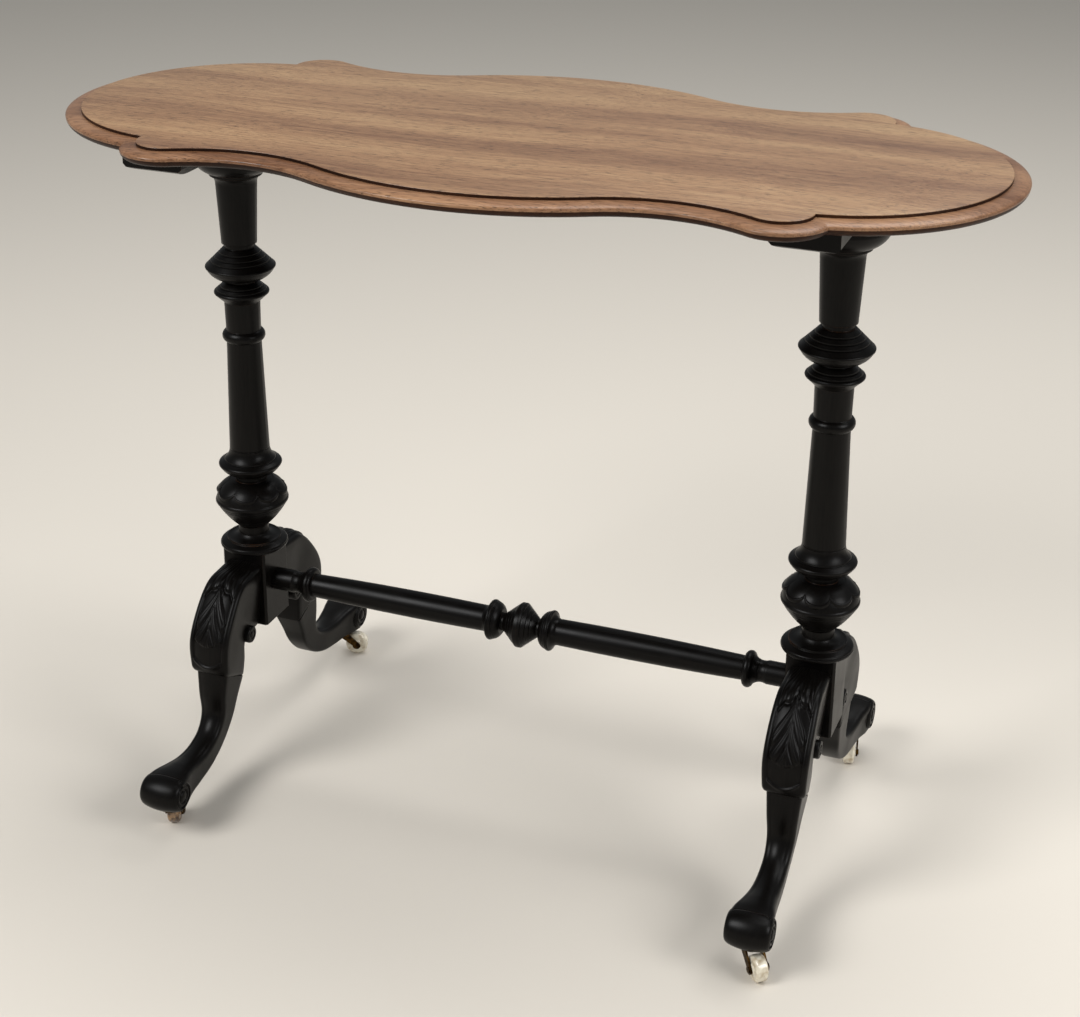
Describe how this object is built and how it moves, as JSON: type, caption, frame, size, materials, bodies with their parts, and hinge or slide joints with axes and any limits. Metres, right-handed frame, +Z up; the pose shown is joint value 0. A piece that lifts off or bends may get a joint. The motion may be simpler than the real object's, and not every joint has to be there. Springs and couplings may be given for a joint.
{
  "type": "centre table",
  "caption": "Oblong centre table with a shaped walnut top on turned ebonised columns, carved cabriole legs, a turned stretcher and brass castors with porcelain wheels.",
  "frame": {"origin": "on the floor under the middle of the top", "axes": "+X along the top's length, -Y towards the pictured front, +Z up"},
  "size_m": [0.908, 0.4432, 0.703],
  "materials": {
    "walnut": "waxed figured walnut",
    "ebonised": "black stained and french polished",
    "beech": "bare turned beech",
    "brass": "dull aged brass",
    "steel": "plain screw steel",
    "porcelain": "cream glazed porcelain"
  },
  "bodies": {
    "table": {"table_top": "walnut", "bearer_left": "ebonised", "bearer_right": "ebonised", "bearer_screws": "steel", "column_left": "ebonised", "column_right": "ebonised", "pedestal_block_left": "ebonised", "pedestal_block_right": "ebonised", "stretcher": "ebonised", "leg_dowels": "beech", "castor_screws": "brass", "leg_front_left": "ebonised", "castor_plate_front_left": "brass", "leg_front_right": "ebonised", "castor_plate_front_right": "brass", "leg_back_left": "ebonised", "castor_plate_back_left": "brass", "leg_back_right": "ebonised", "castor_plate_back_right": "brass"},
    "castor_swivel_front_left": {"castor_fork_front_left": "brass", "castor_axle_front_left": "brass"},
    "castor_roller_front_left": {"castor_wheel_front_left": "porcelain"},
    "castor_swivel_front_right": {"castor_fork_front_right": "brass", "castor_axle_front_right": "brass"},
    "castor_roller_front_right": {"castor_wheel_front_right": "porcelain"},
    "castor_swivel_back_left": {"castor_fork_back_left": "brass", "castor_axle_back_left": "brass"},
    "castor_roller_back_left": {"castor_wheel_back_left": "porcelain"},
    "castor_swivel_back_right": {"castor_fork_back_right": "brass", "castor_axle_back_right": "brass"},
    "castor_roller_back_right": {"castor_wheel_back_right": "porcelain"}
  },
  "joints": [
    {"name": "swivel_front_left", "type": "hinge", "parent": "table", "child": "castor_swivel_front_left", "pos_m": [-0.3, -0.195, 0.0264], "axis": [0, 0, 1], "continuous": true},
    {"name": "roll_front_left", "type": "hinge", "parent": "castor_swivel_front_left", "child": "castor_roller_front_left", "pos_m": [-0.30494, -0.17978, 0.0125], "axis": [-0.9511, -0.309, 0], "continuous": true},
    {"name": "swivel_front_right", "type": "hinge", "parent": "table", "child": "castor_swivel_front_right", "pos_m": [0.3, -0.195, 0.0264], "axis": [0, 0, 1], "continuous": true},
    {"name": "roll_front_right", "type": "hinge", "parent": "castor_swivel_front_right", "child": "castor_roller_front_right", "pos_m": [0.31028, -0.20726, 0.0125], "axis": [0.766, 0.6428, 0], "continuous": true},
    {"name": "swivel_back_left", "type": "hinge", "parent": "table", "child": "castor_swivel_back_left", "pos_m": [-0.3, 0.195, 0.0264], "axis": [0, 0, 1], "continuous": true},
    {"name": "roll_back_left", "type": "hinge", "parent": "castor_swivel_back_left", "child": "castor_roller_back_left", "pos_m": [-0.28496, 0.20047, 0.0125], "axis": [-0.342, 0.9397, 0], "continuous": true},
    {"name": "swivel_back_right", "type": "hinge", "parent": "table", "child": "castor_swivel_back_right", "pos_m": [0.3, 0.195, 0.0264], "axis": [0, 0, 1], "continuous": true},
    {"name": "roll_back_right", "type": "hinge", "parent": "castor_swivel_back_right", "child": "castor_roller_back_right", "pos_m": [0.30305, 0.17929, 0.0125], "axis": [0.9816, 0.1908, 0], "continuous": true}
  ]
}
